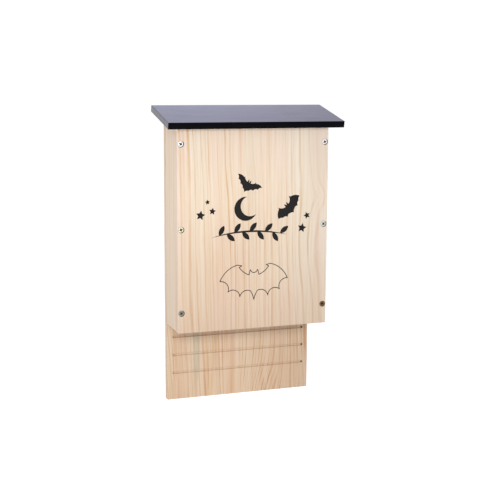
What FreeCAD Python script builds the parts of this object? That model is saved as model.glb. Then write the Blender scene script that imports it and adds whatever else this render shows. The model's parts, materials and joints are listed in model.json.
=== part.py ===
import FreeCAD, Part
import math
import os

import Sketcher

# Bat box for a wall or a tree: one roosting chamber with an open bottom, a back panel that runs on
# below it as a grooved landing, and a roof that slopes to the front. Millimetres.
# Frame: the front faces -Y, the wall is on the +Y side, +Z is up. The origin is the centre of the
# round entry of the hanging keyhole, on the rear face of the back panel.

SIZES = (
    # Boards
    ("front_width", 220, "front panel, edge to edge"),
    ("box_width", 217, "back panel, and across the outer faces of the side boards"),
    ("back_thick", 11, "back panel"),
    ("side_thick", 11, "side boards"),
    ("front_thick", 10, "front panel"),
    ("chamber_depth", 52, "from the back panel to the front panel"),
    ("landing_height", 112.5, "back panel left open to view below the front panel"),
    ("front_height", 283.4, "front panel's face, bottom edge to roof"),
    ("edge_ease", 0.4, "chamfer on the boards' open edges"),
    # Roof
    ("roof_tilt", 13, "degrees, falling to the front"),
    ("roof_width", 253, "edge to edge"),
    ("roof_thick", 9.1, "square to its top"),
    ("eaves_overhang", 18, "upper front edge ahead of the front panel"),
    ("roof_ease", 0.5, "radius on the roof's edges"),
    # Foothold grooves across the front of the back panel
    ("groove_width", 3, "cutter diameter"),
    ("groove_depth", 1, "into the board"),
    ("groove_first", 39.5, "lowest groove above the bottom edge"),
    ("groove_spacing", 26.5, "groove to groove"),
    ("groove_tuck", 1.5, "groove's end centre past the side board's inner face"),
    ("groove_stop", 16, "least height between the last groove and the roof"),
    ("plunge_dia", 3.4, "mark where the cutter goes in and comes out"),
    ("plunge_depth", 1.6, "depth of that mark"),
    # Hanging keyhole in the rear face of the back panel
    ("keyhole_drop", 63, "entry's centre below the roof, at the rear face"),
    ("keyhole_entry", 10, "round entry's diameter, and width of the undercut"),
    ("keyhole_slot", 5, "width of the slot above the entry"),
    ("keyhole_run", 12, "entry's centre to the slot's upper centre"),
    ("keyhole_lip", 3, "wood left behind the wall screw's head"),
    ("keyhole_depth", 7, "whole depth"),
    # Wood screws, the same ones front and rear
    ("screw_length", 30, "overall"),
    ("screw_dia", 4, "over the thread"),
    ("screw_neck", 2.9, "plain part under the head"),
    ("screw_neck_length", 9, "head's top to the thread"),
    ("screw_tip", 5, "pointed end"),
    ("head_dia", 7.7, "countersunk head"),
    ("head_rim", 0.15, "upright edge of the head"),
    ("head_sink", 0.15, "head's top below the wood"),
    ("cross_span", 4.6, "driver recess, tip to tip"),
    ("cross_width", 1.5, "driver recess, width of an arm"),
    ("cross_depth", 1.8, "driver recess"),
    ("fit_gap", 0.1, "clearance round screws and pins"),
    ("screw_inset", 5.3, "front screws in from the front panel's edge"),
    ("screw_low", 28, "lowest screws above the front panel's bottom edge"),
    ("screw_high", 24, "highest screws below the top of the front panel's face"),
    # Panel pins through the roof into the side boards
    ("pin_dia", 1.6, "shank"),
    ("pin_head", 2.6, "head"),
    ("pin_head_height", 1, "head"),
    ("pin_length", 30, "overall"),
    ("pin_tip", 2, "pointed end"),
    ("pin_margin", 13, "pins in from the side board's front and rear edges"),
    # Figures burned into the front panel, placed from the middle of its face
    ("burn_depth", 0.3, "solid figures"),
    ("line_width", 1.1, "drawn line of the large bat"),
    ("large_bat_span", 100, "wing tip to wing tip"),
    ("large_bat_x", 0.5, "to the right of the middle"),
    ("large_bat_z", -72.6, "above the middle"),
    ("upper_bat_span", 41, "wing tip to wing tip"),
    ("upper_bat_x", -9, "to the right of the middle"),
    ("upper_bat_z", 61, "above the middle"),
    ("upper_bat_tilt", -30, "degrees"),
    ("right_bat_span", 45, "wing tip to wing tip"),
    ("right_bat_x", 51.8, "to the right of the middle"),
    ("right_bat_z", 27.4, "above the middle"),
    ("right_bat_tilt", 46, "degrees"),
    ("star_large", 13.8, "across"),
    ("star_middle", 10.4, "across"),
    ("star_small", 7.6, "across"),
    ("moon_dia", 33.5, "outer edge of the crescent"),
    ("moon_bite_dia", 28, "circle that hollows the crescent"),
    ("moon_bite_shift", 7.4, "between the two circles' centres"),
    ("moon_x", -12, "to the right of the middle"),
    ("moon_z", 27.5, "above the middle"),
    ("moon_tilt", 28, "degrees"),
    ("twig_length", 112, "tip to tip"),
    ("twig_sag", 7, "rise of its curve"),
    ("twig_width", 2.6, "at its middle"),
    ("twig_x", -6, "to the right of the middle"),
    ("twig_z", -11, "above the middle"),
    ("leaf_length", 15.5, "base to tip"),
    ("leaf_width", 7, "at its middle"),
    ("leaf_lean", 50, "degrees off the twig"),
)

# Stars: size, then right of the panel's middle, above it, and turn in degrees
STARS = (
    ("star_small", -67.3, 38.4, 10),
    ("star_middle", -60.3, 25.6, -8),
    ("star_large", -77.3, 20.5, -10),
    ("star_middle", 79, 15, 20),
    ("star_large", 71.7, -2.4, -12),
)
STAR_ARMS = 5
STAR_WAIST = 0.5

# Right half of each bat in half spans, from between the ears round to the tail. A point is
# (across, up, bow): bow is the rise of the curve that leads on from it, in chords, hollow if below 0.
FLYING_BAT = (
    (0.000, 0.190, 0.00),
    (0.075, 0.370, 0.12),
    (0.130, 0.180, -0.12),
    (0.450, 0.400, 0.00),
    (0.490, 0.500, 0.00),
    (0.550, 0.400, 0.12),
    (1.000, -0.030, -0.18),
    (0.745, -0.180, -0.22),
    (0.485, -0.375, -0.22),
    (0.190, -0.330, -0.12),
    (0.000, -0.480, 0.00),
)
SWOOPING_BAT = (
    (0.000, 0.120, 0.00),
    (0.065, 0.350, 0.10),
    (0.130, 0.140, -0.08),
    (0.400, 0.290, 0.00),
    (0.430, 0.380, 0.00),
    (0.490, 0.310, 0.14),
    (1.000, 0.270, -0.18),
    (0.800, 0.020, -0.22),
    (0.530, -0.200, -0.22),
    (0.250, -0.360, -0.14),
    (0.000, -0.600, 0.00),
)
GLIDING_BAT = (
    (0.000, 0.200, -0.12),
    (0.110, 0.290, 0.00),
    (0.148, 0.145, -0.08),
    (0.435, 0.370, 0.00),
    (0.360, 0.412, 0.00),
    (0.490, 0.440, 0.12),
    (1.000, 0.000, -0.28),
    (0.762, -0.304, -0.31),
    (0.415, -0.462, -0.25),
    (0.100, -0.312, -0.05),
    (0.000, -0.560, 0.00),
)
LEAVES = 9

SCREW_ROWS = 3
SCREW_TURNS = (31, 8, 57, 74, 40, 19)

# Lengths that several pieces share, as expressions on the sheet
PITCH = "(sizes.roof_tilt * 1 deg)"
RISE = f"tan({PITCH})"
BOX_DEPTH = "(sizes.back_thick + sizes.chamber_depth + sizes.front_thick)"
REAR_HEIGHT = f"(sizes.landing_height + sizes.front_height + {BOX_DEPTH} * {RISE})"
KEYHOLE_UP = f"({REAR_HEIGHT} - sizes.keyhole_drop)"
FRONT_BOTTOM = f"(sizes.landing_height - {KEYHOLE_UP})"
SIDE_FACE = f"(sizes.front_height + sizes.front_thick * {RISE})"
BACK_FACE = f"(sizes.landing_height + {SIDE_FACE} + sizes.chamber_depth * {RISE})"
SIDE_MIDDLE = "((sizes.box_width - sizes.side_thick) / 2)"
FRONT_SCREW_X = "(sizes.front_width / 2 - sizes.screw_inset)"
SCREW_STEP = f"((sizes.front_height - sizes.screw_low - sizes.screw_high) / {SCREW_ROWS - 1})"
SCREW_HOLE = "(sizes.screw_dia + 2 * sizes.fit_gap)"
SCREW_REACH = "(sizes.screw_length + sizes.head_sink + sizes.fit_gap)"
COUNTERSINK = "(sizes.head_dia + 2 * (sizes.head_sink + sizes.head_rim + sizes.fit_gap))"
PIN_HOLE = "(sizes.pin_dia + 2 * sizes.fit_gap)"
PIN_SPOTS = (
    "(sizes.back_thick + sizes.pin_margin)",
    "(sizes.back_thick + sizes.chamber_depth - sizes.pin_margin)",
)

doc = FreeCAD.newDocument("bat_box")
sheet = doc.addObject("Spreadsheet::Sheet", "sizes")
parts = []


def fill_sheet():
    for row, (alias, number, meaning) in enumerate(SIZES, start=1):
        sheet.set(f"A{row}", alias)
        sheet.set(f"B{row}", str(number))
        sheet.set(f"C{row}", meaning)
        sheet.setAlias(f"B{row}", alias)
    doc.recompute()


def value(expression):
    """The number that an expression on the sheet has now."""
    result = sheet.evalExpression(str(expression))
    return float(getattr(result, "Value", result))


def size(alias):
    return value("sizes." + alias)


# Bodies and sketches

def new_body(label):
    body = doc.addObject("PartDesign::Body", label)
    body.Label = label
    return body


def new_sketch(body, name, role, lift=None):
    """Sketch on one of the body's own origin planes, lifted along the plane's normal."""
    sketch = body.newObject("Sketcher::SketchObject", name)
    plane = next(item for item in body.Origin.OriginFeatures if item.Role == role)
    sketch.AttachmentSupport = [(plane, "")]
    sketch.MapMode = "FlatFace"
    if lift:
        sketch.setExpression("AttachmentOffset.Base.z", lift)
    return sketch


def hold(sketch, geometry, position, across, up, tag):
    """Tie one point of a sketch to two expressions, measured from the sketch's origin."""
    for letter, axis, kind, spot in (("x", -2, "DistanceX", across), ("y", -1, "DistanceY", up)):
        if spot == "0":
            sketch.addConstraint(Sketcher.Constraint("PointOnObject", geometry, position, axis))
            continue
        distance = Sketcher.Constraint(kind, -1, 1, geometry, position, value(spot))
        sketch.renameConstraint(sketch.addConstraint(distance), letter + tag)
        sketch.setExpression(f"Constraints.{letter}{tag}", spot)


def hold_width(sketch, geometry, diameter, tag):
    width = sketch.addConstraint(Sketcher.Constraint("Diameter", geometry, value(diameter)))
    sketch.renameConstraint(width, "width" + tag)
    sketch.setExpression(f"Constraints.width{tag}", diameter)


def polygon(sketch, corners):
    """Closed outline through corners that are given as pairs of expressions."""
    spots = [FreeCAD.Vector(value(across), value(up), 0) for across, up in corners]
    count = len(spots)
    for index in range(count):
        sketch.addGeometry(Part.LineSegment(spots[index], spots[(index + 1) % count]), False)
    for index in range(count):
        following = (index + 1) % count
        sketch.addConstraint(Sketcher.Constraint("Coincident", index, 2, following, 1))
    for index, (across, up) in enumerate(corners):
        hold(sketch, index, 1, across, up, f"_corner{index}")
    return sketch


def circle(sketch, across, up, diameter, tag="_hole"):
    centre = FreeCAD.Vector(value(across), value(up), 0)
    outline = Part.Circle(centre, FreeCAD.Vector(0, 0, 1), value(diameter) / 2)
    index = sketch.addGeometry(outline, False)
    hold(sketch, index, 3, across, up, tag)
    hold_width(sketch, index, diameter, tag)
    return sketch


def slot(sketch, first, second, width):
    """Round-ended slot between two centres, each a pair of expressions."""
    near, far = (FreeCAD.Vector(value(across), value(up), 0) for across, up in (first, second))
    heading = math.atan2(far.y - near.y, far.x - near.x)
    caps = []
    for centre, start in ((near, heading + math.pi / 2), (far, heading - math.pi / 2)):
        whole = Part.Circle(centre, FreeCAD.Vector(0, 0, 1), value(width) / 2)
        caps.append(Part.ArcOfCircle(whole, start, start + math.pi))
    for this, other in (caps, caps[::-1]):
        sketch.addGeometry(this, False)
        sketch.addGeometry(Part.LineSegment(this.EndPoint, other.StartPoint), False)
    for index in range(4):
        following = (index + 1) % 4
        sketch.addConstraint(Sketcher.Constraint("Tangent", index, 2, following, 1))
    hold(sketch, 0, 3, *first, "_near")
    hold(sketch, 2, 3, *second, "_far")
    hold_width(sketch, 0, width, "_slot")
    return sketch


# Features

def pad(body, sketch, length, both_ways=True):
    feature = body.newObject("PartDesign::Pad", sketch.Name + "_pad")
    feature.Profile = sketch
    feature.SideType = "Symmetric" if both_ways else "One side"
    feature.setExpression("Length", length)
    return feature


def pocket(body, sketch, depth, reverse=False):
    """Cut against the sketch's normal, or along it if reversed."""
    feature = body.newObject("PartDesign::Pocket", sketch.Name + "_pocket")
    feature.Profile = sketch
    feature.Reversed = reverse
    feature.setExpression("Length", depth)
    return feature


def hole(body, sketch, diameter, depth=None, countersink=None, reverse=False):
    """Drilled hole, right through where no depth is given."""
    doc.recompute()
    feature = body.newObject("PartDesign::Hole", sketch.Name + "_drilled")
    feature.Profile = sketch
    feature.ThreadType = "None"
    feature.Reversed = reverse
    feature.setExpression("Diameter", diameter)
    feature.DepthType = "Dimension" if depth else "ThroughAll"
    feature.DrillPoint = "Flat"
    if depth:
        feature.setExpression("Depth", depth)
    if countersink:
        feature.HoleCutType = "Countersink"
        feature.HoleCutCustomValues = True
        feature.HoleCutCountersinkAngle = 90
        feature.setExpression("HoleCutDiameter", countersink)
    return feature


def repeat(body, features, sketch, count, spacing):
    """Copies of the features up the sketch's vertical axis."""
    pattern = body.newObject("PartDesign::LinearPattern", features[0].Name + "_copies")
    pattern.Originals = features
    pattern.Direction = (sketch, ["V_Axis"])
    pattern.Mode = "Spacing"
    pattern.setExpression("Occurrences", str(count))
    pattern.setExpression("Offset", spacing)
    body.Tip = pattern


def ease(body, kind, alias, wanted):
    """Chamfer or fillet on those edges of the body that wanted() picks."""
    doc.recompute()
    base = body.Tip
    names = [f"Edge{i}" for i, edge in enumerate(base.Shape.Edges, start=1) if wanted(edge)]
    feature = body.newObject("PartDesign::" + kind, body.Name + "_" + kind.lower())
    feature.Base = (base, names)
    feature.setExpression("Size" if kind == "Chamfer" else "Radius", "sizes." + alias)
    return feature


def place(item, across="0", along="0", up="0"):
    for axis, expression in zip("xyz", (across, along, up)):
        item.setExpression("Placement.Base." + axis, expression)


# Boards

def board(label, width, depth, face_height):
    """Board drawn from its side: rear face at zero, and its top cut to the roof's slope."""
    body = new_body(label)
    outline = new_sketch(body, label + "_outline", "YZ_Plane")
    front = f"(-{depth})"
    rear_height = f"({face_height} + {depth} * {RISE})"
    polygon(outline, (("0", "0"), ("0", rear_height), (front, face_height), (front, "0")))
    pad(body, outline, width)
    return body


def under_roof(face_height):
    """Picks the edges that don't lie wholly in a board's sloping top."""
    limit = value(face_height) - size("edge_ease")
    return lambda edge: any(vertex.Z < limit for vertex in edge.Vertexes)


def screw_holes(body, name, lift, centres, up, **drill):
    """Holes for the rows of screws, each centre a distance across the board."""
    sketch = new_sketch(body, name, "XZ_Plane", lift=lift)
    for index, across in enumerate(centres):
        circle(sketch, across, up, SCREW_HOLE, f"_column{index}")
    drilled = hole(body, sketch, SCREW_HOLE, **drill)
    repeat(body, [drilled], sketch, SCREW_ROWS, SCREW_STEP)


def keyhole(body):
    """Blind keyhole from a T-shaped cutter: plunged at the entry, then run up under a lip."""
    entry = ("0", KEYHOLE_UP)
    seat = ("0", f"({KEYHOLE_UP} + sizes.keyhole_run)")
    plunge = circle(new_sketch(body, "keyhole_plunge", "XZ_Plane"), *entry, "sizes.keyhole_entry")
    pocket(body, plunge, "sizes.keyhole_depth", reverse=True)
    neck = slot(new_sketch(body, "keyhole_neck", "XZ_Plane"), entry, seat, "sizes.keyhole_slot")
    pocket(body, neck, "sizes.keyhole_lip", reverse=True)
    undercut = new_sketch(body, "keyhole_undercut", "XZ_Plane", lift="sizes.keyhole_lip")
    slot(undercut, entry, seat, "sizes.keyhole_entry")
    pocket(body, undercut, "sizes.keyhole_depth - sizes.keyhole_lip", reverse=True)


def grooves(body):
    """Foothold grooves from side to side, with the cutter's deeper mark at both ends."""
    reach = "(sizes.box_width / 2 - sizes.side_thick + sizes.groove_tuck)"
    left = (f"(-{reach})", "sizes.groove_first")
    right = (reach, "sizes.groove_first")
    line = new_sketch(body, "groove", "XZ_Plane", lift="sizes.back_thick")
    cut = pocket(body, slot(line, left, right, "sizes.groove_width"), "sizes.groove_depth")
    marks = new_sketch(body, "groove_ends", "XZ_Plane", lift="sizes.back_thick")
    circle(marks, *left, "sizes.plunge_dia", "_left")
    circle(marks, *right, "sizes.plunge_dia", "_right")
    plunge = pocket(body, marks, "sizes.plunge_depth")
    room = f"({BACK_FACE} - sizes.groove_first - sizes.groove_stop)"
    count = f"floor({room} / sizes.groove_spacing) + 1"
    repeat(body, [cut, plunge], line, count, "sizes.groove_spacing")


def back_panel():
    body = board("back_panel", "sizes.box_width", "sizes.back_thick", BACK_FACE)
    ease(body, "Chamfer", "edge_ease", under_roof(BACK_FACE))
    grooves(body)
    columns = (f"(-{SIDE_MIDDLE})", SIDE_MIDDLE)
    low = "(sizes.landing_height + sizes.screw_low)"
    screw_holes(body, "back_holes", None, columns, low, countersink=COUNTERSINK, reverse=True)
    keyhole(body)
    place(body, up=f"-{KEYHOLE_UP}")
    parts.append(body)


def side_board(label, side):
    """Board between the back and front panels; side is -1 on the left and 1 on the right."""
    body = board(label, "sizes.side_thick", "sizes.chamber_depth", SIDE_FACE)
    ease(body, "Chamfer", "edge_ease", lambda edge: edge.BoundBox.ZMax < size("edge_ease"))
    low = "sizes.screw_low"
    column = f"({side} * ({FRONT_SCREW_X} - {SIDE_MIDDLE}))"
    depth = f"{SCREW_REACH} - sizes.front_thick"
    screw_holes(body, label + "_front_pilots", "sizes.chamber_depth", [column], low, depth=depth)
    depth = f"{SCREW_REACH} - sizes.back_thick"
    screw_holes(body, label + "_rear_pilots", None, ["0"], low, depth=depth, reverse=True)
    pin_pilots(body, label)
    place(body, f"{side} * {SIDE_MIDDLE}", "-sizes.back_thick", FRONT_BOTTOM)
    parts.append(body)


def pin_pilots(body, label):
    """Holes for the panel pins, square to the board's sloping top."""
    spots = new_sketch(body, label + "_pin_pilots", "XY_Plane")
    spots.AttachmentOffset = FreeCAD.Placement(
        FreeCAD.Vector(0, 0, 0), FreeCAD.Rotation(FreeCAD.Vector(1, 0, 0), size("roof_tilt"))
    )
    spots.setExpression("AttachmentOffset.Rotation.Angle", PITCH)
    spots.setExpression("AttachmentOffset.Base.z", f"{SIDE_FACE} + sizes.chamber_depth * {RISE}")
    for index, depth in enumerate(PIN_SPOTS):
        down_slope = f"(-({depth} - sizes.back_thick) / cos({PITCH}))"
        circle(spots, "0", down_slope, PIN_HOLE, f"_pin{index}")
    pocket(body, spots, "sizes.pin_length + sizes.fit_gap - sizes.roof_thick")


def front_panel():
    body = board("front_panel", "sizes.front_width", "sizes.front_thick", "sizes.front_height")
    ease(body, "Chamfer", "edge_ease", under_roof("sizes.front_height"))
    columns = (f"(-{FRONT_SCREW_X})", FRONT_SCREW_X)
    face = "sizes.front_thick"
    screw_holes(body, "front_holes", face, columns, "sizes.screw_low", countersink=COUNTERSINK)
    for name, outlines in figures():
        burn(body, name, outlines)
    place(body, along="-(sizes.back_thick + sizes.chamber_depth)", up=FRONT_BOTTOM)
    parts.append(body)


# Figures of the front panel, drawn in the plane of its face from the middle of its height

def bowed(start, end, bow):
    """Straight line, or an arc that rises to the left of its way by bow chords."""
    if bow == 0:
        return Part.LineSegment(start, end)
    chord = end - start
    crown = (start + end) * 0.5 + FreeCAD.Vector(-chord.y, chord.x, 0) * bow
    if bow < 0:
        return Part.Arc(start, crown, end)
    return Part.Arc(end, crown, start)


def outline(points):
    """Closed line through (across, up, bow) points."""
    spots = [FreeCAD.Vector(across, up, 0) for across, up, bow in points]
    following = spots[1:] + spots[:1]
    return [bowed(a, b, point[2]) for a, b, point in zip(spots, following, points)]


def moved(points, across, up, tilt=0, scale=1):
    turn = math.radians(tilt)
    middle = size("front_height") / 2
    return [
        (
            across + scale * (x * math.cos(turn) - y * math.sin(turn)),
            middle + up + scale * (x * math.sin(turn) + y * math.cos(turn)),
            bow,
        )
        for x, y, bow in points
    ]


def whole_bat(half):
    """Both halves of a bat, from its right half."""
    back = [(-x, y, half[i][2]) for i, (x, y, bow) in list(enumerate(half[1:]))[::-1]]
    return list(half[:-1]) + back


def bat(name, half, tilt=0):
    points = whole_bat(half)
    return moved(points, size(name + "_x"), size(name + "_z"), tilt, size(name + "_span") / 2)


def star(kind, across, up, turn):
    points = []
    for index in range(2 * STAR_ARMS):
        radius = STAR_WAIST if index % 2 else 1
        angle = math.pi / 2 - index * math.pi / STAR_ARMS
        points.append((radius * math.cos(angle), radius * math.sin(angle), 0))
    return moved(points, across, up, turn, size(kind) / 2)


def crescent():
    """The moon's outer circle, hollowed by a second one; their arcs meet at the horns."""
    outer = size("moon_dia") / 2
    inner = size("moon_bite_dia") / 2
    shift = size("moon_bite_shift")
    horn_x = (outer**2 - inner**2 + shift**2) / (2 * shift)
    horn_y = math.sqrt(outer**2 - horn_x**2)
    outer_rise = (outer + horn_x) / (2 * horn_y)
    inner_rise = (inner - shift + horn_x) / (2 * horn_y)
    points = [(horn_x, -horn_y, outer_rise), (horn_x, horn_y, -inner_rise)]
    return moved(points, size("moon_x"), size("moon_z"), size("moon_tilt"))


def twig_stem():
    half = size("twig_length") / 2
    rise = (size("twig_sag") + size("twig_width") / 2) / (2 * half)
    fall = (size("twig_sag") - size("twig_width") / 2) / (2 * half)
    return moved([(half, 0, -rise), (-half, 0, fall)], size("twig_x"), size("twig_z"))


def twig_leaves():
    """Leaves set on the stem by turns above and below, each a pair of arcs."""
    half = size("twig_length") / 2
    sag = size("twig_sag")
    bow = size("leaf_width") / 2 / size("leaf_length")
    leaves = []
    for index in range(1, LEAVES + 1):
        along = half * (2 * index / (LEAVES + 1) - 1)
        up = sag * (1 - (along / half) ** 2)
        slope = math.degrees(math.atan(-2 * sag * along / half**2))
        lean = slope + size("leaf_lean") * (1 if index % 2 else -1)
        leaf = [(0, 0, bow), (1, 0, bow)]
        base = (size("twig_x") + along, size("twig_z") + up)
        leaves.append(moved(leaf, *base, lean, size("leaf_length")))
    return leaves


def figures():
    """Name and outlines of each group of figures."""
    yield "large_bat", drawn_line(outline(bat("large_bat", GLIDING_BAT)))
    yield "upper_bat", [outline(bat("upper_bat", SWOOPING_BAT, size("upper_bat_tilt")))]
    yield "right_bat", [outline(bat("right_bat", FLYING_BAT, size("right_bat_tilt")))]
    yield "stars", [outline(star(*spot)) for spot in STARS]
    yield "moon", [outline(crescent())]
    yield "twig", [outline(twig_stem())]
    yield "leaves", [outline(leaf) for leaf in twig_leaves()]


def drawn_line(curves):
    """The two edges of a line drawn along an outline."""
    path = Part.Wire(Part.sortEdges([curve.toShape() for curve in curves])[0])
    edges = []
    for offset in (size("line_width") / 2, -size("line_width") / 2):
        side = path.makeOffset2D(offset)
        edges.append([as_curve(edge) for edge in side.Edges])
    return edges


def as_curve(edge):
    """Sketch curve for a straight or round edge, run anticlockwise where it is round."""
    first, last = edge.ParameterRange
    ends = [edge.valueAt(first), edge.valueAt(last)]
    if isinstance(edge.Curve, Part.Line):
        return Part.LineSegment(*ends)
    middle = edge.valueAt((first + last) / 2)
    if edge.Curve.Axis.z < 0:
        ends.reverse()
    return Part.Arc(ends[0], middle, ends[1])


def burn(body, name, outlines):
    """Sink a group of figures into the face by the depth of the burn."""
    sketch = new_sketch(body, name, "XZ_Plane", lift="sizes.front_thick")
    for curves in outlines:
        sketch.addGeometry(curves, False)
    pocket(body, sketch, "sizes.burn_depth")


# Roof

def roof():
    """Slab laid on the boards' tops, its lower rear edge in line with the wall."""
    body = new_body("roof")
    plan = new_sketch(body, "roof_plan", "XY_Plane")
    reach = f"({BOX_DEPTH} + sizes.eaves_overhang - sizes.roof_thick * sin({PITCH}))"
    front = f"(-{reach} / cos({PITCH}))"
    right = "(sizes.roof_width / 2)"
    left = f"(-{right})"
    polygon(plan, ((left, "0"), (left, front), (right, front), (right, "0")))
    pad(body, plan, "sizes.roof_thick", both_ways=False)
    ease(body, "Fillet", "roof_ease", lambda edge: True)
    spots = new_sketch(body, "roof_pin_holes", "XY_Plane", lift="sizes.roof_thick")
    heads = new_sketch(body, "roof_pin_heads", "XY_Plane", lift="sizes.roof_thick")
    for column, side in enumerate((-1, 1)):
        for index, depth in enumerate(PIN_SPOTS):
            spot = (f"({side} * {SIDE_MIDDLE})", f"(-{depth} / cos({PITCH}))")
            circle(spots, *spot, PIN_HOLE, f"_pin{column}{index}")
            circle(heads, *spot, "(sizes.pin_head + 2 * sizes.fit_gap)", f"_head{column}{index}")
    pocket(body, spots, "sizes.roof_thick")
    pocket(body, heads, "sizes.pin_head_height")
    tilt(body)
    place(body, up=f"{FRONT_BOTTOM} + sizes.front_height + {BOX_DEPTH} * {RISE}")
    parts.append(body)


def tilt(item):
    """Turn a piece to the roof's slope."""
    turn = FreeCAD.Rotation(FreeCAD.Vector(1, 0, 0), size("roof_tilt"))
    item.Placement = FreeCAD.Placement(FreeCAD.Vector(0, 0, 0), turn)
    item.setExpression("Placement.Rotation.Angle", PITCH)


# Screws and pins, turned round their own upright axis with the head's top at zero

def turned(label, corners):
    body = new_body(label)
    profile = polygon(new_sketch(body, label + "_profile", "XZ_Plane"), corners)
    feature = body.newObject("PartDesign::Revolution", label + "_turned")
    feature.Profile = profile
    feature.ReferenceAxis = (profile, ["V_Axis"])
    feature.Angle = 360
    return body


def screw():
    head = "(sizes.head_dia / 2)"
    neck = "(sizes.screw_neck / 2)"
    thread = "(sizes.screw_dia / 2)"
    cone_end = f"(-(sizes.head_rim + {head} - {neck}))"
    thread_start = "(-sizes.screw_neck_length)"
    thread_full = f"(-(sizes.screw_neck_length + {thread} - {neck}))"
    corners = (
        ("0", "0"),
        (head, "0"),
        (head, "(-sizes.head_rim)"),
        (neck, cone_end),
        (neck, thread_start),
        (thread, thread_full),
        (thread, "(-(sizes.screw_length - sizes.screw_tip))"),
        ("0", "(-sizes.screw_length)"),
    )
    body = turned("screw", corners)
    arm = "(sizes.cross_span / 2)"
    half = "(sizes.cross_width / 2)"
    recess = new_sketch(body, "driver_recess", "XY_Plane")
    quarter = ((arm, f"(-{half})"), (arm, half), (half, half))
    turns = ((1, 0), (0, 1), (-1, 0), (0, -1))
    cross = []
    for cosine, sine in turns:
        for x, y in quarter:
            cross.append((f"({x} * {cosine} - {y} * {sine})", f"({x} * {sine} + {y} * {cosine})"))
    pocket(body, polygon(recess, cross), "sizes.cross_depth")
    return body


def pin():
    head = "(sizes.pin_head / 2)"
    shank = "(sizes.pin_dia / 2)"
    under_head = "(-sizes.pin_head_height)"
    corners = (
        ("0", "0"),
        (head, "0"),
        (head, under_head),
        (shank, under_head),
        (shank, "(-(sizes.pin_length - sizes.pin_tip))"),
        ("0", "(-sizes.pin_length)"),
    )
    return turned("pin", corners)


def fasteners(label, master, spots, turn):
    """Group of copies of one fastener; turn(index) is each copy's own rotation."""
    copies = []
    for index, spot in enumerate(spots):
        copy = doc.addObject("App::Link", f"{label}_{index + 1}")
        copy.LinkedObject = master
        copy.Placement = FreeCAD.Placement(FreeCAD.Vector(0, 0, 0), turn(index))
        place(copy, *spot)
        copies.append(copy)
    group = doc.addObject("Part::Compound", label)
    group.Label = label
    group.Links = copies
    parts.append(group)


def screw_spots(across, along):
    """Screws in two columns, from the bottom up."""
    rows = [f"{FRONT_BOTTOM} + sizes.screw_low + {row} * {SCREW_STEP}" for row in range(SCREW_ROWS)]
    return [(f"{side} * {across}", along, up) for side in (-1, 1) for up in rows]


def pin_spots():
    """Centres of the pins' heads on the roof's top."""
    spots = []
    for side in (-1, 1):
        for depth in PIN_SPOTS:
            along = f"-({depth} + sizes.roof_thick * sin({PITCH}))"
            slope_up = f"({BOX_DEPTH} - {depth}) * {RISE} + sizes.roof_thick * cos({PITCH})"
            up = f"{FRONT_BOTTOM} + sizes.front_height + {slope_up}"
            spots.append((f"{side} * {SIDE_MIDDLE}", along, up))
    return spots


def facing(direction):
    """Rotation that lays an upright fastener's head to -Y (1) or +Y (-1), turned in its hole."""
    lay = FreeCAD.Rotation(FreeCAD.Vector(1, 0, 0), 90 * direction)
    return lambda index: lay * FreeCAD.Rotation(FreeCAD.Vector(0, 0, 1), SCREW_TURNS[index])


def check_and_write():
    doc.recompute()
    for item in doc.Objects:
        if "Invalid" in item.State or "Error" in item.State:
            raise RuntimeError(f"{item.Name} failed: {item.State}")
    os.makedirs("parts", exist_ok=True)
    for part in parts:
        if part.Shape.isNull() or not part.Shape.isValid():
            raise RuntimeError(f"{part.Label} has no valid shape")
        part.Shape.exportStep(f"parts/{part.Label}.step")


fill_sheet()
back_panel()
side_board("left_side", -1)
side_board("right_side", 1)
front_panel()
roof()
master_screw = screw()
master_pin = pin()
front_face = f"-({BOX_DEPTH} - sizes.head_sink)"
fasteners("front_screws", master_screw, screw_spots(FRONT_SCREW_X, front_face), facing(1))
fasteners("back_screws", master_screw, screw_spots(SIDE_MIDDLE, "-sizes.head_sink"), facing(-1))
slope = FreeCAD.Rotation(FreeCAD.Vector(1, 0, 0), size("roof_tilt"))
fasteners("roof_pins", master_pin, pin_spots(), lambda index: slope)
check_and_write()
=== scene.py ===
"""Looks and studio for the bat box: bare pine boards with burned-in figures, a glossy black roof
and zinc screws. Metres, in the part's own frame: the front faces -Y, +Z is up, and the origin is the
centre of the hanging keyhole's entry on the rear face."""

import json
import math

import bpy
from mathutils import Matrix, Vector

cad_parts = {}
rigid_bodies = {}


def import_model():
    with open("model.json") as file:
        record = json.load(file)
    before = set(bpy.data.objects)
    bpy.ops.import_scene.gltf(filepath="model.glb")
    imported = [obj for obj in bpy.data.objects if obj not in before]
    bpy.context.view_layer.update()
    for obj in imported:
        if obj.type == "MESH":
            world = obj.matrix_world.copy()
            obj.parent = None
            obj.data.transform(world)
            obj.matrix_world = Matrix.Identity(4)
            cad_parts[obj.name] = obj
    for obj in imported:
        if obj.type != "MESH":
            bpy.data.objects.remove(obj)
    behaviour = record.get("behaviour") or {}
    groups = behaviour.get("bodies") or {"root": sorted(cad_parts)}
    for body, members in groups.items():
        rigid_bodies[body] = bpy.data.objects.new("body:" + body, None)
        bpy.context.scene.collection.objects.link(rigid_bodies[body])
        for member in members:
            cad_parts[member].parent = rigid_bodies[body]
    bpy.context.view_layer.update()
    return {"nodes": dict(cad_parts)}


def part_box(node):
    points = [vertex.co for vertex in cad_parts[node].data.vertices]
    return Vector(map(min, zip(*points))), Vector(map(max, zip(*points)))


MM = 0.001


def empty_scene():
    for item in list(bpy.data.objects):
        bpy.data.objects.remove(item)


empty_scene()
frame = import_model()
nodes = frame["nodes"]

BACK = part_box("back_panel")
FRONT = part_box("front_panel")


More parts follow.
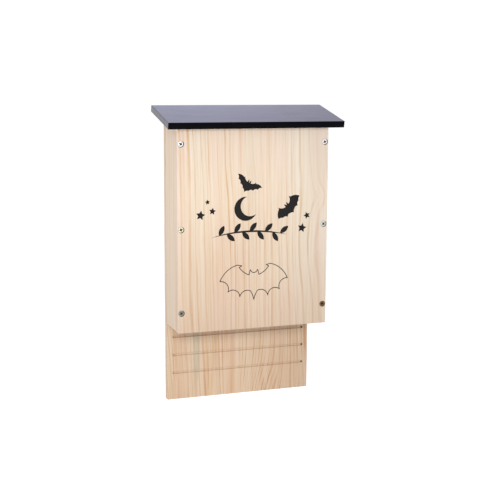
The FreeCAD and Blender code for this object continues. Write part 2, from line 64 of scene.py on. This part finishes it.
def srgb(red, green, blue):
    """Linear colour from 8-bit display values."""
    def linear(level):
        level /= 255
        return level / 12.92 if level <= 0.04045 else ((level + 0.055) / 1.055) ** 2.4
    return (linear(red), linear(green), linear(blue), 1)


# Node graphs

# Noise stays near its middle, and this much brings it to its full reach
NOISE_REACH = 2.6


class Graph:
    """Nodes of a material or world. Most methods add one node and return its output."""

    def __init__(self, owner):
        owner.use_nodes = True
        self.owner = owner
        self.tree = owner.node_tree
        self.tree.nodes.clear()

    def node(self, kind, inputs=None, **settings):
        made = self.tree.nodes.new(kind)
        for key, setting in settings.items():
            setattr(made, key, setting)
        for key, source in (inputs or {}).items():
            self.feed(made.inputs[key], source)
        return made

    def feed(self, socket, source):
        if isinstance(source, bpy.types.NodeSocket):
            self.tree.links.new(source, socket)
        else:
            socket.default_value = source

    def place(self):
        return self.node("ShaderNodeTexCoord").outputs["Object"]

    def split(self, vector):
        return self.node("ShaderNodeSeparateXYZ", {0: vector}).outputs

    def join(self, x, y, z):
        return self.node("ShaderNodeCombineXYZ", {0: x, 1: y, 2: z}).outputs[0]

    def math(self, operation, first, second=0.0, third=0.0):
        made = self.node("ShaderNodeMath", {0: first, 1: second, 2: third}, operation=operation)
        return made.outputs[0]

    def product(self, first, *others):
        for other in others:
            first = self.math("MULTIPLY", first, other)
        return first

    def total(self, first, *others):
        for other in others:
            first = self.math("ADD", first, other)
        return first

    def stretch(self, vector, scale, shift=(0, 0, 0)):
        inputs = {"Vector": vector, "Location": shift, "Scale": scale}
        return self.node("ShaderNodeMapping", inputs).outputs[0]

    def noise(self, vector, detail=2.0, roughness=0.5):
        inputs = {"Vector": vector, "Scale": 1.0, "Detail": detail, "Roughness": roughness}
        return self.node("ShaderNodeTexNoise", inputs).outputs["Fac"]

    def swing(self, vector, amount, detail=2.0):
        """Noise about zero, from about -amount to amount."""
        centred = self.math("SUBTRACT", self.noise(vector, detail), 0.5)
        return self.product(centred, NOISE_REACH * amount)

    def step(self, number, low, high, start=0.0, end=1.0):
        """Smooth step from start to end as the number goes from low to high."""
        inputs = {"Value": number, "From Min": low, "From Max": high, "To Min": start, "To Max": end}
        made = self.node("ShaderNodeMapRange", inputs, interpolation_type="SMOOTHSTEP")
        return made.outputs["Result"]

    def between(self, number, low, high, soft):
        """One from low to high, fading to nothing over soft on either side."""
        rise = self.step(number, low - soft, low)
        fall = self.step(number, high, high + soft, 1.0, 0.0)
        return self.product(rise, fall)

    def veil(self, vector, kind, shift=(0, 0, 0), start=0.0, end=1.0):
        """Noise of one kind as a smooth step. The kind: scale, low, high and detail."""
        scale, low, high, detail = kind
        return self.step(self.noise(self.stretch(vector, scale, shift), detail), low, high, start, end)

    def oval(self, x, z, spot):
        """One at a spot of the front view, fading outwards. The spot: x, z, half width, half height."""
        at_x, at_z, half_width, half_height = spot
        away_x = self.math("DIVIDE", self.math("SUBTRACT", x, at_x), half_width)
        away_z = self.math("DIVIDE", self.math("SUBTRACT", z, at_z), half_height)
        squares = self.math("MULTIPLY_ADD", away_x, away_x, self.product(away_z, away_z))
        return self.math("EXPONENT", self.product(squares, -1.0))

    def mix(self, share, first, second, blend="MIX"):
        inputs = {"Factor": share, "A": first, "B": second}
        made = self.node("ShaderNodeMix", None, data_type="RGBA", blend_type=blend)
        for socket in made.inputs:
            if socket.enabled and socket.name in inputs:
                self.feed(socket, inputs[socket.name])
        return next(socket for socket in made.outputs if socket.enabled)

    def tone(self, colour, share, tone):
        """Colour times a tone, as far as the share says."""
        return self.mix(share, colour, (*tone, 1), "MULTIPLY")

    def shade(self, colour, share, low, high):
        """Colour times a grey that goes from low to high with share."""
        grey = self.math("MULTIPLY_ADD", share, high - low, low)
        return self.mix(1.0, colour, self.join(grey, grey, grey), "MULTIPLY")

    def bump(self, height, depth):
        inputs = {"Height": height, "Distance": depth, "Strength": 1.0}
        return self.node("ShaderNodeBump", inputs).outputs[0]

    def finish(self, **inputs):
        """Close a material with a shader that has these inputs."""
        inputs = {name.replace("_", " "): source for name, source in inputs.items()}
        shader = self.node("ShaderNodeBsdfPrincipled", inputs)
        self.node("ShaderNodeOutputMaterial", {"Surface": shader.outputs[0]})
        return self.owner


def new_material(name):
    return Graph(bpy.data.materials.new(name))


# Bare pine. Scales are waves per metre to the right, deep and up.

SLOW_BEND = (7, 7, 2.2)
FINE_BEND = (50, 50, 15)
FINE_BEND_SHARE = 0.22
UNEVEN_RINGS = 0.54

# A year of growth goes from 0 to 1: a faint false ring, then late wood that rises and ends
FALSE_RING = (0.25, 0.31, 0.12)
FALSE_RING_MOST = 0.5
LATE_RISE = (0.50, 0.74)
LATE_END = (0.81, 0.94)
LATE_LEAST = 0.54
LATE_SPREAD = 0.36

# Veils of noise: scale, the levels where they set in and are full, and detail
PATCHES = ((28, 28, 3.0), 0.25, 0.7, 2.0)
DASHES = ((110, 110, 14), 0.32, 0.62, 2.0)
STREAKS = ((430, 430, 9), 0.35, 0.75, 2.0)
BLUSH = ((38, 38, 1.8), 0.40, 0.70, 3.0)
BANDS = ((150, 150, 3.0), 0.35, 0.7, 2.0)
CANALS = ((2300, 2300, 90), 0.70, 0.78, 1.0)
BAND_TONE = (0.93, 0.86, 0.76)
FIBRE = (1500, 1500, 38)
FIBRE_SHADES = (0.975, 1.01)

WOOD_RELIEF = 0.12 * MM
LATE_RELIEF = 0.45
FIBRE_RELIEF = 0.5
WOOD_ROUGH = 0.56
FIBRE_ROUGH = 0.12

# Keys of the boards, in metres:
# pith: place of the tree's pith, right and deep; lean: how far it leans per metre up
# ring: width of a year; wander: how far the rings stray; seed: shift of the noises
# early, late: colours of the wood of a year; contrast: most share of the late colour
# streaks: share of fine streaks; dashes: least and most strength along a ring
# tint, blush: another early colour and its most share; bands: most share of darker bands
# knots: bulges of the rings, each with x, z, half width, half height and push
FRONT_BOARD = {
    "pith": (0.19, 0.02), "lean": (0.03, 0.02), "ring": 0.0098, "wander": 0.008,
    "seed": (3.1, 7.7, 1.9), "early": srgb(216, 202, 183), "late": srgb(193, 153, 107),
    "contrast": 0.95, "streaks": 0.22, "dashes": (0.55, 1.15),
    "tint": srgb(214, 188, 171), "blush": 0.4, "bands": 0.35,
    "knots": (
        (0.090, -0.050, 0.020, 0.034, 0.0035), (0.102, -0.054, 0.013, 0.017, 0.0065),
        (0.080, -0.130, 0.020, 0.040, -0.003),
    ),
}
BACK_BOARD = {
    "pith": (-0.25, 0.055), "lean": (0.05, -0.02), "ring": 0.0058, "wander": 0.006,
    "seed": (9.4, 2.2, 5.6), "early": srgb(201, 180, 156), "late": srgb(174, 133, 98),
    "contrast": 0.7, "streaks": 0.35, "dashes": (0.25, 1.3),
    "tint": srgb(197, 162, 140), "blush": 0.35, "bands": 0.35,
    "knots": ((0.036, -0.366, 0.034, 0.055, 0.022),),
}
SIDE_BOARD = {
    "pith": (0.0, 0.26), "lean": (0.0, 0.03), "ring": 0.0095, "wander": 0.007,
    "seed": (5.3, 6.1, 8.8), "early": srgb(214, 197, 175), "late": srgb(191, 161, 130),
    "contrast": 0.75, "streaks": 0.35, "dashes": (0.6, 1.1),
    "tint": srgb(202, 178, 153), "blush": 0.3, "bands": 0.3,
    "knots": (),
}


def growth(g, p, board):
    """Radius from the tree's pith in rings. The pith is an upright line that leans and wanders."""
    pith, lean, wander, seed = (board[key] for key in ("pith", "lean", "wander", "seed"))
    x, y, z = g.split(p)
    across = g.math("SUBTRACT", g.math("MULTIPLY_ADD", z, lean[0], x), pith[0])
    deep = g.math("SUBTRACT", g.math("MULTIPLY_ADD", z, lean[1], y), pith[1])
    squares = g.math("MULTIPLY_ADD", across, across, g.product(deep, deep))
    slow = g.swing(g.stretch(p, SLOW_BEND, seed), wander)
    fine = g.swing(g.stretch(p, FINE_BEND, seed), FINE_BEND_SHARE * wander)
    radius = g.total(g.math("SQRT", squares), slow, fine)
    for *spot, push in board["knots"]:
        radius = g.math("MULTIPLY_ADD", g.oval(x, z, spot), push, radius)
    rings = g.math("DIVIDE", radius, board["ring"])
    return g.total(rings, g.swing(g.join(rings, seed[0], 0.0), UNEVEN_RINGS, detail=1.0))


def late_wood(g, p, board, calm):
    """Share of late wood. It breaks up along the rings, and calm wood shows less of it."""
    first, second, third = board["seed"]
    rings = growth(g, p, board)
    phase = g.math("FRACT", rings)
    year = g.node("ShaderNodeTexWhiteNoise", {"W": g.math("FLOOR", rings)}, noise_dimensions="1D")
    year = year.outputs["Value"]
    strong = g.math("MULTIPLY_ADD", year, LATE_SPREAD, LATE_LEAST)
    late = g.product(g.step(phase, *LATE_RISE), g.step(phase, *LATE_END, 1.0, 0.0), strong)
    faint = g.math("MULTIPLY_ADD", year, -FALSE_RING_MOST, FALSE_RING_MOST)
    late = g.math("MULTIPLY_ADD", g.between(phase, *FALSE_RING), faint, late)
    patches = g.veil(p, PATCHES, board["seed"], 0.5, 1.0)
    dashes = g.veil(p, DASHES, (third, first, second), *board["dashes"])
    return g.product(late, patches, dashes, g.math("SUBTRACT", 1.0, calm))


def pine(g, p, board, calm=0.0):
    """Colour, share of late wood and fibre of a pine board."""
    first, second, third = board["seed"]
    late = late_wood(g, p, board, calm)
    streaks = g.veil(p, STREAKS, (third, second, first))
    shown = g.math("MULTIPLY_ADD", streaks, board["streaks"], late)
    colour = g.mix(g.product(shown, board["contrast"]), board["early"], board["late"])
    blush = g.veil(p, BLUSH, (second, third, first), 0.0, board["blush"])
    colour = g.mix(blush, colour, board["tint"])
    colour = g.tone(colour, g.veil(p, BANDS, board["seed"], 0.0, board["bands"]), BAND_TONE)
    fibre = g.noise(g.stretch(p, FIBRE, board["seed"]), 3.0, 0.6)
    colour = g.shade(colour, g.step(fibre, 0.3, 0.7), *FIBRE_SHADES)
    canals = g.veil(p, CANALS, (third, first, second))
    canals = g.product(canals, g.step(late, 0.1, 0.5, 0.1, 0.45))
    return g.mix(canals, colour, board["late"]), late, fibre


def bare_wood(g, colour, late, fibre, gloss=0.3):
    """Shader for sanded bare wood: soft early wood lies a little below the late wood."""
    relief = g.math("MULTIPLY_ADD", late, LATE_RELIEF, g.product(fibre, FIBRE_RELIEF))
    return g.finish(
        Base_Color=colour, Roughness=g.math("MULTIPLY_ADD", fibre, FIBRE_ROUGH, WOOD_ROUGH),
        Normal=g.bump(relief, WOOD_RELIEF), Specular_IOR_Level=gloss,
    )


def patched(g, colour, x, z, patches):
    """Colour with soft patches of other tones, each with its spot and tone."""
    for *spot, tone in patches:
        colour = g.tone(colour, g.oval(x, z, spot), tone)
    return colour


# Heads and seats of the screws

HEAD_RADIUS = 3.85 * MM
SEAT_RADIUS = 4.45 * MM
# Painted shadow on the wood round each screw head
SEAT_PAINTED_SHADOW = srgb(72, 54, 42)


def head_place(g, x, z, node):
    """Row of the nearest screw head of a node, the way to it, right and up, and the distance."""
    low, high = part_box(node)
    bottom_row = low.z + HEAD_RADIUS
    rise = (high.z - HEAD_RADIUS - bottom_row) / 2
    row = g.math("DIVIDE", g.math("SUBTRACT", z, bottom_row), rise)
    column = g.product(g.math("SIGN", x), high.x - HEAD_RADIUS)
    off_x = g.math("SUBTRACT", x, column)
    off_z = g.product(g.math("SUBTRACT", row, g.math("ROUND", row)), rise)
    squares = g.math("MULTIPLY_ADD", off_x, off_x, g.product(off_z, off_z))
    return row, off_x, off_z, g.math("SQRT", squares)


def painted_shadow_side(g, off_x, off_z):
    """Share of painted shadow round a head: little on its upper left, most on its lower right."""
    toward = g.math("MULTIPLY_ADD", off_z, -0.5, off_x)
    return g.step(toward, -0.5 * HEAD_RADIUS, 0.9 * HEAD_RADIUS, 0.25, 1.0)


# Front board. Patches are spots of another tone: x, z, half width, half height and tone.

FRONT_PATCHES = (
    (0.045, -0.145, 0.026, 0.050, (1.022, 1.07, 1.08)),
    (-0.098, -0.160, 0.012, 0.050, (1.01, 1.035, 1.035)),
    (0.097, -0.015, 0.018, 0.060, (0.955, 0.935, 0.915)),
    (-0.004, -0.050, 0.011, 0.085, (0.93, 0.91, 0.895)),
    (-0.085, 0.020, 0.010, 0.060, (1.0, 1.03, 1.04)),
    (-0.025, -0.165, 0.026, 0.050, (1.0, 0.975, 0.975)),
    # Painted shade: this low patch darkens the board along its bottom edge
    (0.0, -0.240, 0.200, 0.030, (0.96, 0.955, 0.95)),
)
# Painted shade: the front board grows darker and warmer towards its foot, where the light is weaker
FOOT_TOP = -0.02
FOOT_PAINTED_SHADE = (0.85, 0.778, 0.74)
FOOT_LATE_TONE = (0.935, 0.955, 1.06)
# Painted shade: the top of the front board is made a little darker, to even out how the light falls there
HEAD_RISE = (-0.06, 0.03)
HEAD_PAINTED_SHADE = (0.972, 0.968, 0.99)
RIGHT_RISE = (0.0, 0.1)
FRONT_RIGHT_TONE = (0.948, 1.003, 1.052)
# Painted light: the wood just under the eaves is made paler, to thin the roof's shadow on it
EAVES = (35.5 * MM, 41 * MM)
EAVES_PAINTED_LIGHT = (1.34, 1.33, 1.32)
FRONT_GLOSS = 0.2

BURN_EDGE = 0.05 * MM
BURN_REACH = 0.6 * MM
FIGURES_HALF = 95 * MM
FIGURES_FOOT = 5 * MM
FIGURES_HEAD = 30 * MM
CHAR = srgb(20, 17, 17)
CHAR_SHADES = (0.5, 1.5)


def front_calm(g, x, z):
    """How much calmer the front board's rings are, by places in metres to the right and up."""
    upper_right = g.product(g.step(x, -0.07, 0.0, 0.0, 0.42), g.step(z, -0.16, -0.02))
    upper_middle = g.product(g.between(x, 0.012, 0.038, 0.02), g.step(z, -0.12, -0.02, 0.0, 0.3))
    foot = g.step(z, -0.20, -0.08, 0.32, 0.0)
    left = g.product(g.step(x, -0.08, -0.03, 1.0, 0.0), g.step(z, -0.06, 0.0, 0.15, -0.2))
    left = g.product(left, g.step(z, -0.20, -0.14))
    return g.total(upper_right, upper_middle, foot, left)


def burned(g, x, y, z):
    """One in the figures, which lie a little below the front board's face."""
    depth = g.math("SUBTRACT", y, FRONT[0].y)
    sunk = g.between(depth, 2 * BURN_EDGE, BURN_REACH, BURN_EDGE)
    inside = g.step(g.math("ABSOLUTE", x), FIGURES_HALF, FIGURES_HALF + MM, 1.0, 0.0)
    return g.product(sunk, inside, g.between(z, FRONT[0].z + FIGURES_FOOT, FRONT[1].z - FIGURES_HEAD, MM))


def front_material():
    g = new_material("front_board_pine")
    p = g.place()
    x, y, z = g.split(p)
    colour, late, fibre = pine(g, p, FRONT_BOARD, front_calm(g, x, z))
    colour = patched(g, colour, x, z, FRONT_PATCHES)
    foot = g.step(z, FRONT[0].z, FOOT_TOP, 1.0, 0.0)
    # Painted shade towards the foot
    colour = g.tone(colour, foot, FOOT_PAINTED_SHADE)
    colour = g.tone(colour, g.product(late, foot), FOOT_LATE_TONE)
    # Painted shade at the top of the board
    colour = g.tone(colour, g.step(z, *HEAD_RISE), HEAD_PAINTED_SHADE)
    colour = g.tone(colour, g.step(x, *RIGHT_RISE), FRONT_RIGHT_TONE)
    # Painted light under the eaves, against the roof's shadow
    colour = g.tone(colour, g.step(z, *EAVES), EAVES_PAINTED_LIGHT)
    _, off_x, off_z, radius = head_place(g, x, z, "front_screws")
    # Painted shadow on the seat round each head, mostly on its lower right
    seat = g.step(radius, SEAT_RADIUS, SEAT_RADIUS + 0.15 * MM, 1.0, 0.0)
    colour = g.mix(g.product(seat, painted_shadow_side(g, off_x, off_z)), colour, SEAT_PAINTED_SHADOW)
    colour = g.mix(burned(g, x, y, z), colour, g.shade(CHAR, fibre, *CHAR_SHADES))
    return bare_wood(g, colour, late, fibre, FRONT_GLOSS)


# Back board, with its foothold grooves

BACK_PATCHES = (
    (-0.1085, -0.08, 0.003, 0.20, (1.02, 1.08, 1.13)),
    (-0.102, -0.33, 0.014, 0.060, (0.965, 0.93, 0.88)),
    (0.062, -0.335, 0.035, 0.045, (0.985, 0.955, 0.92)),
    (0.0, -0.33, 0.03, 0.05, (0.985, 0.985, 0.98)),
    # Painted shade: a darker, warmer band just under the front board, where its shadow falls
    (0.0, -0.243, 0.2, 0.014, (1.0, 0.94, 0.89)),
    (0.092, -0.335, 0.016, 0.080, (0.98, 0.94, 0.93)),
    (-0.09, -0.35, 0.025, 0.020, (0.965, 0.94, 0.93)),
)
BACK_RIGHT_TONE = (0.885, 0.895, 0.885)
OCHRE_BEND = (5, 5, 16)
OCHRE_WAVES = (105, 4)
OCHRE_PLACE = (-45 * MM, -12 * MM, 12 * MM)
OCHRE_TONE = (0.95, 0.86, 0.72)
STAIN_BEND = (9, 9, 9)
STAIN_WIDTH = (-68 * MM, -62 * MM, 3.5 * MM)
STAIN_HEIGHT = (-0.30, -0.23, 0.04)
STAIN_TONE = (0.825, 0.925, 0.935)

# Places of the grooves: heights from the board's foot, reaches from its middle
LOWEST_GROOVE = 39.5 * MM
GROOVE_SPACING = 26.5 * MM
GROOVE_REACH = 102.5 * MM
MARK_REACH = 98.2 * MM
GROOVE_DEPTHS = (0.3 * MM, 2.2 * MM, 0.1 * MM)
# Painted shade on the face just above each groove, under its upper edge
SHADE_ABOVE_GROOVES = (1.6 * MM, 2.3 * MM, 0.3 * MM)
SHADE_ABOVE_MOST = 0.22
SCORCH_CLOUD = ((90, 90, 90), 0.35, 0.7, 3.0)
# Scorch colour, also used for painted shade in and above the grooves
SCORCH_AND_SHADE = srgb(152, 108, 74)
MARK_SCORCH = srgb(76, 46, 30)


def back_calm(g, x, z):
    """How much calmer the back board's rings are, by places too. Below zero they are bolder."""
    right = g.step(x, 0.0, 0.04, 0.0, -0.75)
    right_edge = g.step(x, 0.075, 0.095, 0.0, 0.6)
    slant = g.product(g.between(x, 0.035, 0.062, 0.02), g.step(z, -0.335, -0.28, -0.9, 0.0))
    return g.total(right, right_edge, slant)


def ochre(g, p, x, z):
    """Share of the ochre streaks that run with the grain, left of the middle."""
    wave = g.total(x, g.swing(g.stretch(p, OCHRE_BEND), 4 * MM))
    across, upward = OCHRE_WAVES
    streak = g.noise(g.join(g.product(wave, across), g.product(z, upward), 7.3))
    return g.product(g.step(streak, 0.46, 0.62, 0.0, 0.8), g.between(x, *OCHRE_PLACE))


def stain(g, p, x, z):
    """Share of the pale greenish stain at the left."""
    edge = g.total(x, g.swing(g.stretch(p, STAIN_BEND), 2 * MM))
    return g.product(g.between(edge, *STAIN_WIDTH), g.between(z, *STAIN_HEIGHT))


def grooved(g, p, colour):
    """Colour with the grooves' scorch, darkest in the marks at their ends, painted shade in the top
    groove under the box, and painted shade just above each groove.
    """
    x, y, z = g.split(p)
    depth = g.math("SUBTRACT", y, BACK[0].y)
    height = g.math("SUBTRACT", z, BACK[0].z)
    reach = g.math("ABSOLUTE", x)
    inside = g.step(reach, GROOVE_REACH, GROOVE_REACH + 0.5 * MM, 1.0, 0.0)
    sunk = g.product(g.between(depth, *GROOVE_DEPTHS), inside, g.step(height, 10 * MM, 15 * MM))
    # Painted shade: the top groove, in the shadow under the box, is darkened with the scorch colour
    shade_under_box = g.step(z, -0.27, -0.25, 0.0, 0.3)
    scorch_and_shadow = g.total(g.veil(p, SCORCH_CLOUD, end=0.06), shade_under_box)
    colour = g.mix(g.product(sunk, scorch_and_shadow), colour, SCORCH_AND_SHADE)
    turn = g.math("DIVIDE", g.math("SUBTRACT", height, LOWEST_GROOVE), GROOVE_SPACING)
    above = g.product(g.math("SUBTRACT", turn, g.math("ROUND", turn)), GROOVE_SPACING)
    # Painted shade just above each groove
    face = g.step(depth, 0.2 * MM, 0.3 * MM, SHADE_ABOVE_MOST, 0.0)
    painted_shade_above = g.product(g.between(above, *SHADE_ABOVE_GROOVES), inside, face, g.step(height, 20 * MM, 30 * MM))
    colour = g.mix(painted_shade_above, colour, SCORCH_AND_SHADE)
    mark = g.product(sunk, g.step(reach, MARK_REACH, MARK_REACH + 0.6 * MM))
    return g.mix(g.product(mark, g.step(x, -0.05, 0.05, 0.2, 0.7)), colour, MARK_SCORCH)


def back_material():
    g = new_material("back_board_pine")
    p = g.place()
    x, _, z = g.split(p)
    colour, late, fibre = pine(g, p, BACK_BOARD, back_calm(g, x, z))
    colour = patched(g, colour, x, z, BACK_PATCHES)
    colour = g.tone(colour, ochre(g, p, x, z), OCHRE_TONE)
    colour = grooved(g, p, colour)
    colour = g.tone(colour, stain(g, p, x, z), STAIN_TONE)
    colour = g.tone(colour, g.step(x, *RIGHT_RISE), BACK_RIGHT_TONE)
    return bare_wood(g, colour, late, fibre)


# Side boards

# Painted shade: the side boards grow a little darker towards their foot, where the light is weaker
SIDE_FALL = (-0.24, -0.06)
SIDE_FOOT_PAINTED_SHADE = (0.93, 0.93, 0.92)


def side_material(name, shift):
    """Pine of a side board. The shift gives each board its own grain."""
    g = new_material(name)
    board = dict(SIDE_BOARD)
    board["seed"] = tuple(part + shift for part in SIDE_BOARD["seed"])
    p = g.place()
    colour, late, fibre = pine(g, p, board)
    foot = g.step(g.split(p)[2], *SIDE_FALL, 1.0, 0.0)
    return bare_wood(g, g.tone(colour, foot, SIDE_FOOT_PAINTED_SHADE), late, fibre)


# Roof coating

ROOF_GRAIN = (6, 260, 260)
ROOF_PEEL = (420, 420, 420)
ROOF_DUST = (30, 90, 90)
ROOF_RELIEF = 0.04 * MM
ROOF_BLACK = srgb(3, 3, 4)
ROOF_DUSTY = srgb(7, 7, 8)
ROOF_SHEEN = (0.81, 0.80, 1.0, 1)


def roof_material():
    """Glossy black coating that still shows the long grain of its board."""
    g = new_material("black_coating")
    p = g.place()
    grain = g.noise(g.stretch(p, ROOF_GRAIN), 3.0)
    peel = g.noise(g.stretch(p, ROOF_PEEL))
    relief = g.math("MULTIPLY_ADD", grain, 0.8, g.product(peel, 0.35))
    dust = g.noise(g.stretch(p, ROOF_DUST), 4.0)
    colour = g.mix(g.step(dust, 0.4, 0.8), ROOF_BLACK, ROOF_DUSTY)
    return g.finish(
        Base_Color=colour, Roughness=g.step(dust, 0.3, 0.75, 0.13, 0.21),
        Normal=g.bump(relief, ROOF_RELIEF), IOR=1.15, Specular_Tint=ROOF_SHEEN,
    )


# Zinc plate. Tints go from the lowest row up.

LEFT_TINTS = (srgb(147, 151, 142), srgb(244, 240, 210), srgb(252, 254, 254))
RIGHT_TINTS = (srgb(122, 100, 70), srgb(214, 227, 219), srgb(252, 246, 244))
ZINC_CLOUD = (700, 700, 700)
RIM_PAINTED_SHADOW = srgb(56, 46, 42)
RECESS_PAINTED_SHADE = srgb(12, 26, 28)
TURNING_MARKS = 2 * math.pi / (0.35 * MM)
TURNING_RELIEF = 0.008 * MM


def row_tint(g, row, tints):
    low, middle, top = tints
    tint = g.mix(g.math("GREATER_THAN", row, 0.5), low, middle)
    return g.mix(g.math("GREATER_THAN", row, 1.5), tint, top)


def screw_material(name, node, front):
    """Zinc plate, with the tints that its passivation leaves from screw to screw."""
    g = new_material(name)
    p = g.place()
    x, y, z = g.split(p)
    row, off_x, off_z, radius = head_place(g, x, z, node)
    left = row_tint(g, row, LEFT_TINTS)
    right = row_tint(g, row, RIGHT_TINTS)
    colour = g.mix(g.math("GREATER_THAN", x, 0.0), left, right)
    cloud = g.noise(g.stretch(p, ZINC_CLOUD), 3.0)
    colour = g.shade(colour, cloud, 0.85, 1.1)
    # Painted shadow on the rim of each head, most on its lower right
    rim = g.step(radius, 0.82 * HEAD_RADIUS, 0.90 * HEAD_RADIUS)
    colour = g.mix(g.product(rim, painted_shadow_side(g, off_x, off_z)), colour, RIM_PAINTED_SHADOW)
    low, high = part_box(node)
    # Painted shade in the cross recess and over the centre round it, a little less on the lowest row
    depth = g.math("ABSOLUTE", g.math("SUBTRACT", y, low.y if front else high.y))
    sunk = g.step(depth, 0.02 * MM, 0.12 * MM)
    recess = g.product(sunk, g.step(radius, 0.64 * HEAD_RADIUS, 0.7 * HEAD_RADIUS, 1.0, 0.0))
    mouth = g.step(radius, 0.28 * HEAD_RADIUS, 0.38 * HEAD_RADIUS, 0.9, 0.0)
    dark = g.product(g.math("MAXIMUM", mouth, recess), g.step(row, 0.4, 0.6, 0.8, 1.0))
    colour = g.mix(dark, colour, RECESS_PAINTED_SHADE)
    turned = g.math("SINE", g.product(radius, TURNING_MARKS))
    return g.finish(
        Base_Color=colour, Metallic=1.0, Roughness=g.step(cloud, 0.3, 0.7, 0.26, 0.42),
        Normal=g.bump(turned, TURNING_RELIEF),
    )


def dress():
    materials = {
        "front_panel": front_material(),
        "back_panel": back_material(),
        "left_side": side_material("left_side_pine", shift=0.0),
        "right_side": side_material("right_side_pine", shift=4.0),
        "roof": roof_material(),
        "front_screws": screw_material("front_zinc", "front_screws", front=True),
        "back_screws": screw_material("back_zinc", "back_screws", front=False),
    }
    materials["roof_pins"] = materials["roof"]
    for name, material in materials.items():
        slots = nodes[name].data.materials
        for index in range(len(slots)):
            slots[index] = material


# Studio

FLOOR_Z = -1.15
FLOOR_HALF = 30
FLOOR_GLOW = 0.50
FLOOR_CLOUD = (0.8, 0.8, 0.8)
SKY_FADE = (0.10, 0.60)
SKY_LOW = 1.03
SKY_TOP = 0.50

PHOTO_SIZE = 500
SENSOR = 36
CAMERA_SPOT = Vector((-0.4969, -1.4441, 0.1132))
CAMERA_YAW = 19.713
CAMERA_PITCH = 9.321
CAMERA_ROLL = 0.343
FOCAL_PIXELS = 1063.8


def floor():
    corners = [(x * FLOOR_HALF, y * FLOOR_HALF, FLOOR_Z) for x, y in ((-1, -1), (1, -1), (1, 1), (-1, 1))]
    mesh = bpy.data.meshes.new("floor")
    mesh.from_pydata(corners, [], [(0, 1, 2, 3)])
    plane = bpy.data.objects.new("floor", mesh)
    bpy.context.scene.collection.objects.link(plane)
    g = new_material("pale_floor")
    cloud = g.noise(g.stretch(g.place(), FLOOR_CLOUD))
    colour = g.mix(cloud, srgb(244, 244, 244), srgb(248, 248, 248))
    mesh.materials.append(
        g.finish(
            Base_Color=colour, Roughness=0.9, Emission_Color=(1, 1, 1, 1), Emission_Strength=FLOOR_GLOW
        )
    )


def area_light(name, spot, target, size, power, colour=(1, 1, 1), fade=None):
    """Soft box. A fade dims it across its width: from share, to share, and the lowest strength."""
    light = bpy.data.lights.new(name, "AREA")
    light.shape = "RECTANGLE"
    light.size, light.size_y = size
    light.energy = power
    light.color = colour
    if fade:
        dim, full, lowest = fade
        g = Graph(light)
        across = g.split(g.node("ShaderNodeNewGeometry").outputs["Parametric"])[0]
        strength = g.step(across, dim, full, lowest, 1.0)
        glow = g.node("ShaderNodeEmission", {"Strength": strength})
        g.node("ShaderNodeOutputLight", {"Surface": glow.outputs[0]})
    item = bpy.data.objects.new(name, light)
    item.location = spot
    item.rotation_euler = (Vector(target) - Vector(spot)).to_track_quat("-Z", "Y").to_euler()
    bpy.context.scene.collection.objects.link(item)


def studio():
    world = bpy.data.worlds.new("studio")
    bpy.context.scene.world = world
    g = Graph(world)
    upward = g.split(g.node("ShaderNodeTexCoord").outputs["Generated"])[2]
    strength = g.step(upward, *SKY_FADE, SKY_LOW, SKY_TOP)
    background = g.node("ShaderNodeBackground", {"Color": (1, 1, 1, 1), "Strength": strength})
    g.node("ShaderNodeOutputWorld", {"Surface": background.outputs[0]})
    area_light("key", spot=(-0.62, -1.75, 0.46), target=(0, 0, -0.1), size=(0.8, 0.4), power=18)
    area_light(
        "rear_box", spot=(0.5, 2.9, 1.9), target=(0, 0, 0), size=(3.4, 2.2), power=65,
        colour=(0.66, 0.655, 0.91), fade=(0.04, 0.40, 0.47),
    )
    area_light(
        "left_card", spot=(-1.3, 2.4, -0.3), target=(-0.12, 0, 0.05), size=(1.4, 1.2), power=7.4,
        colour=(0.87, 0.86, 1.0),
    )


def camera():
    yaw, pitch, roll = (math.radians(angle) for angle in (CAMERA_YAW, CAMERA_PITCH, CAMERA_ROLL))
    level = Vector((math.sin(yaw), math.cos(yaw), 0))
    right = Vector((math.cos(yaw), -math.sin(yaw), 0))
    upright = Vector((0, 0, 1))
    ahead = level * math.cos(pitch) - upright * math.sin(pitch)
    above = upright * math.cos(pitch) + level * math.sin(pitch)
    side = right * math.cos(roll) + above * math.sin(roll)
    top = above * math.cos(roll) - right * math.sin(roll)
    data = bpy.data.cameras.new("camera")
    data.sensor_width = SENSOR
    data.lens = FOCAL_PIXELS / PHOTO_SIZE * SENSOR
    item = bpy.data.objects.new("camera", data)
    turn = Matrix((side, top, -ahead)).transposed().to_4x4()
    item.matrix_world = Matrix.Translation(CAMERA_SPOT) @ turn
    bpy.context.scene.collection.objects.link(item)
    bpy.context.scene.camera = item
    bpy.context.scene.view_settings.view_transform = "Standard"


dress()
floor()
studio()
camera()
